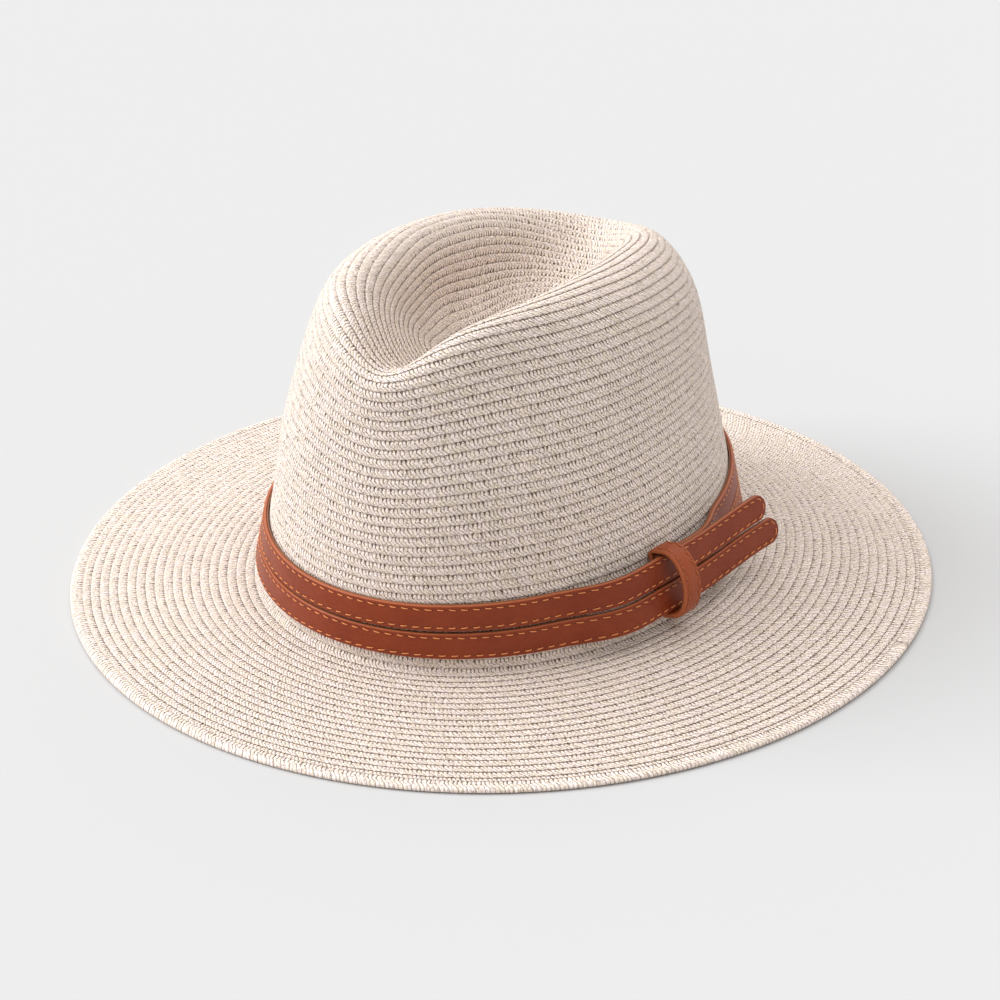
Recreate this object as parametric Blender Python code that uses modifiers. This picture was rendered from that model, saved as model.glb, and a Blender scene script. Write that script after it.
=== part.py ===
"""Sewn-braid sun hat: pinched teardrop crown, flat brim with a bound edge, inner sweatband, and a band of
two stitched straps drawn through a sliding keeper. Metres, +Z up, front at -Y, brim edge resting on z = 0."""

import bpy
import numpy as np

# Overall shape
BRIM_HALF_LENGTH = 0.1660
BRIM_HALF_WIDTH = 0.1575
BASE_HALF_LENGTH = 0.1053  # outside of the crown where it meets the brim
BASE_HALF_WIDTH = 0.0850
BASE_HEIGHT = 0.0090  # brim's upper face at the foot of the crown
BREAK_HEIGHT = 0.0128  # where the last crown row meets the first brim row
BRAID = 0.0016  # thickness of one layer of braid
GAP = 0.0003

# Crest, dent and pinches
CREST_SIDE, CREST_FRONT, CREST_BACK = 0.1250, 0.1095, 0.1070
FRONT_SPREAD, BACK_SPREAD = np.radians(26), np.radians(60)
DENT_FLOOR, DENT_CENTRE_Y = 0.0845, 0.0050
PINCH_ANGLE, PINCH_SPREAD = np.radians(50), np.radians(25.5)

# Edge binding
EDGE_WIDTH, EDGE_THICKNESS = 0.0040, 0.0022

# Sweatband
SWEAT_BOTTOM, SWEAT_TOP, SWEAT_THICKNESS = 0.0095, 0.0395, 0.0009

# Band straps: each is a face leather over a backing, sewn round its edge
STRAP_WIDTH = 0.0093
LOWER_BOTTOM, UPPER_BOTTOM = 0.0147, 0.0250
BACKING_THICKNESS, FACE_THICKNESS = 0.0007, 0.0009
STRAP_STACK = BACKING_THICKNESS + GAP + FACE_THICKNESS
WALL_OFFSET = 0.00035
HIDDEN_OFFSET, TAIL_OFFSET = 0.0024, 0.00465  # layers under and through the keeper
HIDDEN_START = -0.0030
LOWER_TAIL, UPPER_TAIL = 0.0620, 0.0570
LOWER_TAIL_LIFT, UPPER_TAIL_LIFT = 0.0028, 0.0026
STITCH_INSET, THREAD_RADIUS = 0.0014, 0.0003
THREAD_START = 0.0220

# Keeper
KEEPER_ANGLE = np.radians(-18.5)
KEEPER_WIDTH, KEEPER_THICKNESS = 0.0085, 0.0018
KEEPER_INNER = (-0.0110, 0.0110)  # below and above the middle of the band
KEEPER_DEPTH = 0.0112  # clear depth, from its back out to the top of its arch

CROWN_ROWS, TOP_ROWS, AROUND = 19, 11, 64


def spline_weights(count, samples):
    """Cubic B-spline weights that start and end on the first and last control point."""
    order = [0, 0] + list(range(count)) + [count - 1, count - 1]
    spans = len(order) - 3
    at = np.linspace(0, spans, samples)
    first = np.minimum(at.astype(int), spans - 1)
    f = at - first
    basis = ((1 - f) ** 3, 3 * f**3 - 6 * f**2 + 4, -3 * f**3 + 3 * f**2 + 3 * f + 1, f**3)
    weights = np.zeros((samples, count))
    for step, part in enumerate(basis):
        for row in range(samples):
            weights[row, order[first[row] + step]] += part[row] / 6
    return weights


def bump(theta, centre, spread):
    away = (theta - centre + np.pi) % (2 * np.pi) - np.pi
    return np.exp(-((away / spread) ** 2))


def oval(theta, half_length, half_width, height, centre_y=0.0, pinch=0.0, forward=0.0):
    front = -np.pi / 2
    pinches = bump(theta, front - PINCH_ANGLE, PINCH_SPREAD) + bump(theta, front + PINCH_ANGLE, PINCH_SPREAD)
    scale = 1 - pinch * pinches
    x = half_width * np.cos(theta) * scale
    y = centre_y + half_length * np.sin(theta) * scale + forward * bump(theta, front, FRONT_SPREAD)
    return np.stack([x, y, height + 0 * theta], -1)


def crown_lines(theta, samples=160):
    """Outer surface of the crown: one line per angle, from the middle of the dent over the crest and down."""
    crest = CREST_SIDE + (CREST_FRONT - CREST_SIDE) * bump(theta, -np.pi / 2, FRONT_SPREAD)
    crest = crest + (CREST_BACK - CREST_SIDE) * bump(theta, np.pi / 2, BACK_SPREAD)
    dent_y = DENT_CENTRE_Y
    rings = [
        oval(theta, 0, 0, DENT_FLOOR, dent_y),
        oval(theta, 0.020, 0.020, DENT_FLOOR + 0.001, dent_y),
        oval(theta, 0.049, 0.0295, DENT_FLOOR + 0.34 * (crest - DENT_FLOOR), dent_y),
        oval(theta, 0.0735, 0.0270, crest - 0.004, -0.0015),
        oval(theta, 0.0900, 0.0425, crest + 0.004, -0.0015, -0.05, -0.0060),
        oval(theta, 0.0950, 0.0650, crest - 0.014, -0.0015, 0.10, -0.0010),
        oval(theta, 0.1025, 0.0660, 0.075, 0.0020, -0.06),
        oval(theta, 0.1053, 0.0750, 0.045, 0.0006),
        oval(theta, BASE_HALF_LENGTH, BASE_HALF_WIDTH, BASE_HEIGHT),
    ]
    return np.tensordot(spline_weights(len(rings), samples), np.array(rings), 1)


# The crown's wall, as plan points and outward normals on a grid of heights and angles
WALL_THETA = np.linspace(-np.pi, np.pi, 241)
WALL_HEIGHTS = np.linspace(BASE_HEIGHT, 0.045, 13)
WALL_POINTS = np.empty((13, 241, 2))
for column, line in enumerate(crown_lines(WALL_THETA, 240)[:139:-1].transpose(1, 0, 2)):
    for axis in (0, 1):
        WALL_POINTS[:, column, axis] = np.interp(WALL_HEIGHTS, line[:, 2], line[:, axis])
WALL_ALONG = np.roll(WALL_POINTS[:, :-1], -1, 1) - np.roll(WALL_POINTS[:, :-1], 1, 1)
WALL_ALONG = np.concatenate([WALL_ALONG, WALL_ALONG[:, :1]], 1)
WALL_ALONG /= np.linalg.norm(WALL_ALONG, axis=2)[..., None]
WALL_NORMALS = np.stack([WALL_ALONG[..., 1], -WALL_ALONG[..., 0]], -1)


def wall_points(theta, height, offset):
    """Points on the crown's wall at any angles and heights, moved out by an offset."""
    grid = WALL_POINTS + WALL_NORMALS * offset
    height = np.broadcast_to(height, theta.shape)
    row = (height - BASE_HEIGHT) / (0.045 - BASE_HEIGHT) * 12
    column = ((theta + np.pi) % (2 * np.pi)) / (2 * np.pi) * 240
    i, j = np.clip(row.astype(int), 0, 11), np.minimum(column.astype(int), 239)
    up, on = (row - i)[:, None], (column - j)[:, None]
    low = grid[i, j] * (1 - on) + grid[i, j + 1] * on
    high = grid[i + 1, j] * (1 - on) + grid[i + 1, j + 1] * on
    return np.column_stack([low + (high - low) * up, height])


# Keeper frame: its place on the wall, the way along the band, up the wall, and out from it
MIDDLE = (LOWER_BOTTOM + UPPER_BOTTOM + STRAP_WIDTH) / 2
AT_KEEPER = np.array([KEEPER_ANGLE])
KEEPER_AT = wall_points(AT_KEEPER, MIDDLE, 0.0)[0]
ALONG = (wall_points(AT_KEEPER + 0.02, MIDDLE, 0.0) - wall_points(AT_KEEPER - 0.02, MIDDLE, 0.0))[0]
ALONG /= np.linalg.norm(ALONG)
UP = (wall_points(AT_KEEPER, MIDDLE + 0.01, 0.0) - wall_points(AT_KEEPER, MIDDLE - 0.01, 0.0))[0]
UP -= ALONG * (UP @ ALONG)
UP /= np.linalg.norm(UP)
OUT = np.cross(ALONG, UP)

ROUND = np.linspace(KEEPER_ANGLE, KEEPER_ANGLE + 2 * np.pi, 721)
ROUND_POINTS = wall_points(ROUND, MIDDLE, 0.0)
ROUND_RUN = np.concatenate([[0], np.cumsum(np.linalg.norm(np.diff(ROUND_POINTS, axis=0), axis=1))])
LOOP_LENGTH = ROUND_RUN[-1]


def smooth(x, low, high):
    t = np.clip((x - low) / (high - low), 0, 1)
    return t * t * t * (10 - 15 * t + 6 * t * t)


def band_points(run, height, offset, lift=0.0):
    """Points along a strap at one height. run is 0 where the strap starts at the keeper and LOOP_LENGTH where it
    comes round to it again; the tail goes on past that, straight."""
    lap = run > LOOP_LENGTH / 2
    local = np.where(lap, run - LOOP_LENGTH, run)
    theta = np.interp(np.clip(run, 0, LOOP_LENGTH), ROUND_RUN, ROUND)
    on_wall = wall_points(theta, height, WALL_OFFSET + offset)
    layer = np.where(lap, TAIL_OFFSET, HIDDEN_OFFSET) + offset
    rise = (height - MIDDLE) / UP[2] + lift * smooth(local, 0.004, LOWER_TAIL) * lap
    straight = KEEPER_AT + np.outer(local, ALONG) + np.outer(rise, UP) + np.outer(layer, OUT)
    free = np.where(lap, smooth(local, -0.050, -0.014), 1 - smooth(local, 0.012, 0.048))[:, None]
    return (1 - free) * on_wall + free * straight


def stations(start, tail):
    """Distances along a strap: closer together at the keeper and round the tip of the tail."""
    end = LOOP_LENGTH + tail
    tip = end - STRAP_WIDTH / 2 * (1 - np.sin(np.radians([0, 30, 55, 75, 88])))
    near = np.arange(start, 0.050, 0.006)
    far = np.linspace(0.056, LOOP_LENGTH - 0.056, 58)
    last = np.linspace(LOOP_LENGTH - 0.050, tip[0] - 0.004, 15)
    return np.concatenate([near, far, last, tip])


def tip_width(run, tail):
    """Half width of a strap, rounded off at the end of its tail."""
    back = np.maximum(run - (LOOP_LENGTH + tail - STRAP_WIDTH / 2), 0)
    return np.sqrt(np.maximum((STRAP_WIDTH / 2) ** 2 - back**2, (0.0005) ** 2))


def material(name, colour, roughness):
    made = bpy.data.materials.new(name)
    made.use_nodes = True
    shader = made.node_tree.nodes["Principled BSDF"]
    shader.inputs["Base Color"].default_value = (*colour, 1)
    shader.inputs["Roughness"].default_value = roughness
    made.diffuse_color = (*colour, 1)
    return made


def lofted(name, rows, finish, thickness, offset, closed=True, pole=False):
    """An open surface through rows of points, given its thickness by a Solidify modifier."""
    count = len(rows[0])
    points = [tuple(p) for row in (rows[1:] if pole else rows) for p in row]
    total = len(points) // count
    faces = []
    for i in range(total - 1):
        for j in range(count if closed else count - 1):
            k = (j + 1) % count
            faces.append((i * count + j, (i + 1) * count + j, (i + 1) * count + k, i * count + k))
    if pole:
        points.append(tuple(rows[0][0]))
        faces += [(len(points) - 1, j, (j + 1) % count) for j in range(count)]
    mesh = bpy.data.meshes.new(name)
    mesh.from_pydata(points, [], faces)
    mesh.materials.append(finish)
    obj = bpy.data.objects.new(name, mesh)
    HAT.objects.link(obj)
    wall = obj.modifiers.new("Thickness", "SOLIDIFY")
    wall.thickness, wall.offset, wall.use_even_offset = thickness, offset, True
    return obj


def tube(name, points, radius, finish, cyclic=False):
    curve = bpy.data.curves.new(name, "CURVE")
    curve.dimensions = "3D"
    curve.bevel_depth, curve.bevel_resolution, curve.use_fill_caps = radius, 0, not cyclic
    spline = curve.splines.new("POLY")
    spline.points.add(len(points) - 1)
    for target, point in zip(spline.points, points):
        target.co = (*point, 1)
    spline.use_cyclic_u = cyclic
    curve.materials.append(finish)
    obj = bpy.data.objects.new(name, curve)
    HAT.objects.link(obj)
    return obj


def crown(straw):
    """Top crown and side crown, parted at one sewn row below the crest."""
    theta = np.linspace(0, 2 * np.pi, AROUND, endpoint=False)
    lines = crown_lines(theta, 640)
    steps = np.linspace(0, 560, CROWN_ROWS).astype(int)
    parting = steps[TOP_ROWS]
    top = [lines[k] for k in (*steps[:TOP_ROWS], parting - 6, parting)]
    side = [lines[k] for k in (parting + 2, parting + 8, *steps[TOP_ROWS + 1 :])]
    lofted("crown_top", top, straw, BRAID, -1, pole=True)
    lofted("crown_side", side + [wall_points(theta, BREAK_HEIGHT, 0.0)], straw, BRAID, -1)


def brim(straw):
    theta = np.linspace(0, 2 * np.pi, AROUND, endpoint=False)
    start = wall_points(theta, BREAK_HEIGHT - 3 * GAP, 0.0)
    edge = oval(theta, BRIM_HALF_LENGTH - EDGE_WIDTH - GAP, BRIM_HALF_WIDTH - EDGE_WIDTH - GAP, 0.0)
    across = edge - start
    across[:, 2] = 0
    away = across / np.linalg.norm(across, axis=1)[:, None]
    level = np.array([1, 1, 0])
    rings = [
        start,
        start * level + [0, 0, BASE_HEIGHT - 0.0004] + away * 0.0002,
        start * level + [0, 0, BASE_HEIGHT - 0.0004] + away * 0.0060,
        start * level + [0, 0, 0.0055] + across * 0.5,
        edge + [0, 0, EDGE_THICKNESS],
    ]
    lines = np.tensordot(spline_weights(len(rings), 60), np.array(rings), 1)
    return lofted("brim", [lines[k] for k in (0, 8, 14, 20, 30, 42, 59)], straw, BRAID, -1)


def brim_edge(straw):
    theta = np.linspace(0, 2 * np.pi, AROUND, endpoint=False)
    inner = oval(theta, BRIM_HALF_LENGTH - EDGE_WIDTH, BRIM_HALF_WIDTH - EDGE_WIDTH, EDGE_THICKNESS)
    outer = oval(theta, BRIM_HALF_LENGTH, BRIM_HALF_WIDTH, EDGE_THICKNESS)
    return lofted("brim_edge_braid", [inner, outer], straw, EDGE_THICKNESS, -1)


def sweatband(cloth, thread):
    theta = np.linspace(0, 2 * np.pi, AROUND, endpoint=False)
    inset = -(BRAID + 2 * GAP)
    rows = [wall_points(theta, z, inset) for z in np.linspace(SWEAT_TOP, SWEAT_BOTTOM, 4)]
    lofted("sweatband", rows, cloth, SWEAT_THICKNESS, -1)
    seam = wall_points(theta, SWEAT_BOTTOM + 0.002, inset - SWEAT_THICKNESS - GAP - THREAD_RADIUS)
    tube("sweatband_thread", seam, THREAD_RADIUS, thread, cyclic=True)


def strap(name, bottom, tail, lift, leather, backing, thread):
    """One strap of the band, from its hidden end under the keeper, once round the crown, to its free tail."""
    run = stations(HIDDEN_START, tail)
    half = tip_width(run, tail)
    low = STRAP_WIDTH / 2 - half

    def edges(offset):
        lower = band_points(run, bottom, offset, lift)
        upper = band_points(run, bottom + STRAP_WIDTH, offset, lift)
        share = (low / STRAP_WIDTH)[:, None]
        return upper + (lower - upper) * share, lower + (upper - lower) * share

    lofted(name + "_backing", edges(0.0), backing, BACKING_THICKNESS, 1, closed=False)
    lofted(name, edges(BACKING_THICKNESS + GAP), leather, FACE_THICKNESS, 1, closed=False)
    sewn = run[(run > THREAD_START) & (run < LOOP_LENGTH + tail - STRAP_WIDTH / 2 - 0.0001)]
    height = STRAP_STACK + GAP + THREAD_RADIUS
    lower = band_points(sewn, bottom + STITCH_INSET, height, lift)
    upper = band_points(sewn, bottom + STRAP_WIDTH - STITCH_INSET, height, lift)
    middle, half_seam = (lower[-1] + upper[-1]) / 2, (upper[-1] - lower[-1]) / 2
    ahead = lower[-1] - lower[-2]
    ahead *= np.linalg.norm(half_seam) / np.linalg.norm(ahead)
    turn = [middle - half_seam * np.cos(a) + ahead * np.sin(a) for a in np.radians([22, 45, 67, 90, 113, 135, 158])]
    tube(name + "_thread", np.vstack([lower, turn, upper[::-1]]), THREAD_RADIUS, thread)


def keeper_outline(inset):
    """Closed outline of the keeper in its own plane, as (out, up) pairs; inset 0 is its inner face. The back lies flat
    on the crown and the front stands off the straps in a round arch."""
    low, high = KEEPER_INNER[0] - inset, KEEPER_INNER[1] + inset
    near, far = GAP + KEEPER_THICKNESS - inset, GAP + KEEPER_THICKNESS + KEEPER_DEPTH + inset
    middle, half = (low + high) / 2, (high - low) / 2
    spring = near + 0.0042 + inset
    outline = [(near, low + 0.0005), (near, middle), (near, high - 0.0005), (near + 0.0007, high)]
    for turn in np.radians([82, 62, 42, 21, 0, -21, -42, -62, -82]):
        outline.append((spring + (far - spring) * np.cos(turn), middle + half * np.sin(turn)))
    return np.array(outline + [(near + 0.0007, low)])


def keeper_ring(along, inset):
    outline = keeper_outline(inset)
    return KEEPER_AT + ALONG * along + np.outer(outline[:, 0], OUT) + np.outer(outline[:, 1], UP)


def keeper(leather, thread):
    half = KEEPER_WIDTH / 2
    pieces = [lofted("keeper_loop", [keeper_ring(a, 0.0) for a in (half, -half)], leather, KEEPER_THICKNESS, 1)]
    for side, name in ((-1, "keeper_thread_front"), (1, "keeper_thread_back")):
        ring = keeper_ring(side * (half - STITCH_INSET), KEEPER_THICKNESS + GAP + THREAD_RADIUS)
        pieces.append(tube(name, ring[3:14], THREAD_RADIUS, thread))
    slider = bpy.data.objects.new("keeper_origin", None)
    slider.location = KEEPER_AT
    HAT.objects.link(slider)
    for piece in pieces:
        piece.parent = slider
        piece.location = -KEEPER_AT


for old in list(bpy.data.objects):
    bpy.data.objects.remove(old, do_unlink=True)
HAT = bpy.data.collections.new("panama_hat")
bpy.context.scene.collection.children.link(HAT)

STRAW = material("paper_braid", (0.72, 0.63, 0.52), 0.85)
LEATHER = material("tan_leather", (0.28, 0.075, 0.025), 0.5)
BACKING = material("leather_backing", (0.22, 0.09, 0.045), 0.8)
THREAD = material("orange_thread", (0.62, 0.20, 0.06), 0.7)
TAPE = material("sweatband_tape", (0.75, 0.70, 0.60), 0.9)
TAPE_THREAD = material("natural_thread", (0.80, 0.76, 0.68), 0.8)

crown(STRAW)
brim(STRAW)
brim_edge(STRAW)
sweatband(TAPE, TAPE_THREAD)
strap("lower_strap", LOWER_BOTTOM, LOWER_TAIL, LOWER_TAIL_LIFT, LEATHER, BACKING, THREAD)
strap("upper_strap", UPPER_BOTTOM, UPPER_TAIL, UPPER_TAIL_LIFT, LEATHER, BACKING, THREAD)
keeper(LEATHER, THREAD)
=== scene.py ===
"""Sewn-braid sun hat: the looks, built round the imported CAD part. Metres, +Z up, front at -Y."""

import bpy
import numpy as np
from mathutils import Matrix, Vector


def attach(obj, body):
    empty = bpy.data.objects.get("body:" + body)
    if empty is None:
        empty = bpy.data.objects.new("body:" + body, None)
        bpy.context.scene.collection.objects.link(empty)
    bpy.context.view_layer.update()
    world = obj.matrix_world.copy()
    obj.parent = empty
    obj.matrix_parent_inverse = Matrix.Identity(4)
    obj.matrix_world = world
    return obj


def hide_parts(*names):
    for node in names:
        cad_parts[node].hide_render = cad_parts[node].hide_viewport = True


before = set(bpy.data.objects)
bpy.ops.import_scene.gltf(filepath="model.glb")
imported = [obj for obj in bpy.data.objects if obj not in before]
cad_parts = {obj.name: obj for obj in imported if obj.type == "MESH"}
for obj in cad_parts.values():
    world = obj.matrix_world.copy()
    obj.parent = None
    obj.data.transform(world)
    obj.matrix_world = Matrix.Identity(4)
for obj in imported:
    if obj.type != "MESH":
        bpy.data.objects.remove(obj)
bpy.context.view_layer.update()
RANDOM = np.random.default_rng(11)
MM = 0.001

# ---------------------------------------------------------------- the CAD part's own dimensions
BRIM_HALF_LENGTH, BRIM_HALF_WIDTH = 0.1660, 0.1575
BASE_HALF_LENGTH, BASE_HALF_WIDTH, BASE_HEIGHT = 0.1053, 0.0850, 0.0090
BREAK_HEIGHT, BRAID, GAP = 0.0128, 0.0016, 0.0003
CREST_SIDE, CREST_FRONT, CREST_BACK = 0.1250, 0.1095, 0.1070
FRONT_SPREAD, BACK_SPREAD = np.radians(26), np.radians(60)
DENT_FLOOR, DENT_CENTRE_Y = 0.0845, 0.0050
PINCH_ANGLE, PINCH_SPREAD = np.radians(50), np.radians(25.5)
EDGE_WIDTH, EDGE_THICKNESS = 0.0040, 0.0022
SWEAT_BOTTOM, SWEAT_TOP, SWEAT_THICKNESS = 0.0095, 0.0395, 0.0009
STRAP_WIDTH = 0.0093
LOWER_BOTTOM, UPPER_BOTTOM = 0.0147, 0.0250
BACKING_THICKNESS, FACE_THICKNESS = 0.0007, 0.0009
STRAP_STACK = BACKING_THICKNESS + GAP + FACE_THICKNESS
WALL_OFFSET, HIDDEN_OFFSET, TAIL_OFFSET = 0.00035, 0.0024, 0.00465
HIDDEN_START, LOWER_TAIL, UPPER_TAIL = -0.0030, 0.0620, 0.0570
LOWER_TAIL_LIFT, UPPER_TAIL_LIFT = 0.0028, 0.0026
STITCH_INSET, THREAD_START = 0.0014, 0.0220
KEEPER_ANGLE = np.radians(-18.5)
KEEPER_WIDTH, KEEPER_THICKNESS = 0.0085, 0.0018
KEEPER_INNER = (-0.0110, 0.0110)
KEEPER_DEPTH = 0.0112
WALL_TOP = 0.045  # the height up to which the wall's grid reaches

# ---------------------------------------------------------------- braid
CROWN_TURNS, BRIM_TURNS = 54, 20.5  # turns of the spiral on the crown, and on the brim
START_HALF_LENGTH = 0.022  # the spiral starts as a straight length of braid along the dent
TOP_TURNS = 26  # turns of it that make the crown's top
STATION = 0.00072  # a quarter of one repeat of the plait
REPEAT = 2.88  # mm along the braid
FOLD = REPEAT / 2
ROW = 3.1  # mm of each row that shows
TUCK = 0.36  # share of a row that lies under the row before it
WAVER, SCALLOP = 0.02, 0.035  # rows that the showing edge wanders, and swells at each fold
FOLD_TOP, FOLD_GAP, DEEP_GAP = 0.05, -0.07, 0.05  # mm above the section, and mm more for every other gap
STRAND_RISE, STRAND_ROUGH = 0.07, 0.035  # mm


def spline_weights(count, samples):
    """Cubic B-spline weights that start and end on the first and last control point."""
    order = [0, 0] + list(range(count)) + [count - 1, count - 1]
    spans = len(order) - 3
    at = np.linspace(0, spans, samples)
    first = np.minimum(at.astype(int), spans - 1)
    f = at - first
    basis = ((1 - f) ** 3, 3 * f**3 - 6 * f**2 + 4, -3 * f**3 + 3 * f**2 + 3 * f + 1, f**3)
    weights = np.zeros((samples, count))
    for step, part in enumerate(basis):
        for row in range(samples):
            weights[row, order[first[row] + step]] += part[row] / 6
    return weights


def bump(theta, centre, spread):
    away = (theta - centre + np.pi) % (2 * np.pi) - np.pi
    return np.exp(-((away / spread) ** 2))


def oval(theta, half_length, half_width, height, centre_y=0.0, pinch=0.0, forward=0.0):
    front = -np.pi / 2
    pinched = bump(theta, front - PINCH_ANGLE, PINCH_SPREAD) + bump(theta, front + PINCH_ANGLE, PINCH_SPREAD)
    scale = 1 - pinch * pinched
    x = half_width * np.cos(theta) * scale
    y = centre_y + half_length * np.sin(theta) * scale + forward * bump(theta, front, FRONT_SPREAD)
    return np.stack([x, y, height + 0 * theta], -1)


def crown_lines(theta, samples):
    """Outer surface of the crown: one line per angle, from the middle of the dent over the crest and down."""
    crest = CREST_SIDE + (CREST_FRONT - CREST_SIDE) * bump(theta, -np.pi / 2, FRONT_SPREAD)
    crest = crest + (CREST_BACK - CREST_SIDE) * bump(theta, np.pi / 2, BACK_SPREAD)
    dent_y = DENT_CENTRE_Y
    rings = [
        oval(theta, 0, 0, DENT_FLOOR, dent_y),
        oval(theta, 0.020, 0.020, DENT_FLOOR + 0.001, dent_y),
        oval(theta, 0.049, 0.0295, DENT_FLOOR + 0.34 * (crest - DENT_FLOOR), dent_y),
        oval(theta, 0.0735, 0.0270, crest - 0.004, -0.0015),
        oval(theta, 0.0900, 0.0425, crest + 0.004, -0.0015, -0.05, -0.0060),
        oval(theta, 0.0950, 0.0650, crest - 0.014, -0.0015, 0.10, -0.0010),
        oval(theta, 0.1025, 0.0660, 0.075, 0.0020, -0.06),
        oval(theta, BASE_HALF_LENGTH, 0.0750, WALL_TOP, 0.0006),
        oval(theta, BASE_HALF_LENGTH, BASE_HALF_WIDTH, BASE_HEIGHT),
    ]
    return np.tensordot(spline_weights(len(rings), samples), np.array(rings), 1)


# The crown's wall, as plan points and outward normals on a grid of heights and angles
WALL_STEPS, WALL_AROUND = 12, 240
LINE_SAMPLES, LAST_OFF_WALL = 240, 139  # samples down each line, and the last one that is above the wall
WALL_THETA = np.linspace(-np.pi, np.pi, WALL_AROUND + 1)
WALL_HEIGHTS = np.linspace(BASE_HEIGHT, WALL_TOP, WALL_STEPS + 1)
WALL_POINTS = np.empty((WALL_STEPS + 1, WALL_AROUND + 1, 2))
WALL_LINES = crown_lines(WALL_THETA, LINE_SAMPLES)[:LAST_OFF_WALL:-1].transpose(1, 0, 2)
for column, line in enumerate(WALL_LINES):
    for axis in (0, 1):
        WALL_POINTS[:, column, axis] = np.interp(WALL_HEIGHTS, line[:, 2], line[:, axis])
WALL_ALONG = np.roll(WALL_POINTS[:, :-1], -1, 1) - np.roll(WALL_POINTS[:, :-1], 1, 1)
WALL_ALONG = np.concatenate([WALL_ALONG, WALL_ALONG[:, :1]], 1)
WALL_ALONG /= np.linalg.norm(WALL_ALONG, axis=2)[..., None]
WALL_NORMALS = np.stack([WALL_ALONG[..., 1], -WALL_ALONG[..., 0]], -1)


def wall_points(theta, height, offset):
    """Points on the crown's wall at any angles and heights, moved out by an offset."""
    grid = WALL_POINTS + WALL_NORMALS * offset
    height = np.broadcast_to(height, theta.shape)
    row = (height - BASE_HEIGHT) / (WALL_TOP - BASE_HEIGHT) * WALL_STEPS
    column = ((theta + np.pi) % (2 * np.pi)) / (2 * np.pi) * WALL_AROUND
    i = np.clip(row.astype(int), 0, WALL_STEPS - 1)
    j = np.minimum(column.astype(int), WALL_AROUND - 1)
    up, on = (row - i)[:, None], (column - j)[:, None]
    low = grid[i, j] * (1 - on) + grid[i, j + 1] * on
    high = grid[i + 1, j] * (1 - on) + grid[i + 1, j + 1] * on
    return np.column_stack([low + (high - low) * up, height])


def brim_lines(theta, samples):
    start = wall_points(theta, BREAK_HEIGHT, 0.0)
    edge = oval(theta, BRIM_HALF_LENGTH - EDGE_WIDTH - GAP, BRIM_HALF_WIDTH - EDGE_WIDTH - GAP, 0.0)
    across = edge - start
    across[:, 2] = 0
    away = across / np.linalg.norm(across, axis=1)[:, None]
    level = np.array([1, 1, 0])
    rings = [
        start,
        start * level + [0, 0, BASE_HEIGHT - 0.0004] + away * 0.0002,
        start * level + [0, 0, BASE_HEIGHT - 0.0004] + away * 0.0060,
        start * level + [0, 0, 0.0055] + across * 0.5,
        edge + [0, 0, EDGE_THICKNESS],
    ]
    return np.tensordot(spline_weights(len(rings), samples), np.array(rings), 1)


# ---------------------------------------------------------------- mesh helpers
def solid(name, points, quads, caps, uv, finishes, which=None):
    """A mesh from a grid's quads and end caps, with one UV point for each vertex."""
    sizes = np.concatenate([np.full(len(quads), 4), [len(c) for c in caps]]).astype(np.int32)
    corners = np.concatenate([quads.ravel(), *[np.asarray(c) for c in caps]]).astype(np.int32)
    mesh = bpy.data.meshes.new(name)
    mesh.vertices.add(len(points))
    mesh.vertices.foreach_set("co", np.ascontiguousarray(points, np.float32).ravel())
    mesh.loops.add(len(corners))
    mesh.loops.foreach_set("vertex_index", corners)
    mesh.polygons.add(len(sizes))
    mesh.polygons.foreach_set("loop_start", np.concatenate([[0], np.cumsum(sizes)[:-1]]).astype(np.int32))
    mesh.update(calc_edges=True)
    layer = mesh.uv_layers.new(name="run_and_across")
    layer.data.foreach_set("uv", np.ascontiguousarray(uv[corners], np.float32).ravel())
    for finish in finishes:
        mesh.materials.append(finish)
    if which is not None:
        which = np.concatenate([which, np.zeros(len(caps))]).astype(np.int32)
        mesh.polygons.foreach_set("material_index", which)
    mesh.shade_smooth()
    obj = bpy.data.objects.new(name, mesh)
    bpy.context.scene.collection.objects.link(obj)
    return obj


def sweep_faces(stations, section, closed=False):
    """Quads of a closed section swept along stations, and its two caps."""
    i = np.arange(stations if closed else stations - 1)[:, None]
    j = np.arange(section)[None, :]
    n, k = (i + 1) % stations, (j + 1) % section
    quads = np.stack([i * section + j, i * section + k, n * section + k, n * section + j], -1).reshape(-1, 4)
    last = (stations - 1) * section
    caps = [] if closed else [list(range(section))[::-1], list(range(last, last + section))]
    return quads, caps


def swept(name, points, uv, finish, closed=False):
    stations, section = points.shape[:2]
    quads, caps = sweep_faces(stations, section, closed)
    return solid(name, points.reshape(-1, 3), quads, caps, uv.reshape(-1, 2), [finish])


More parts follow.
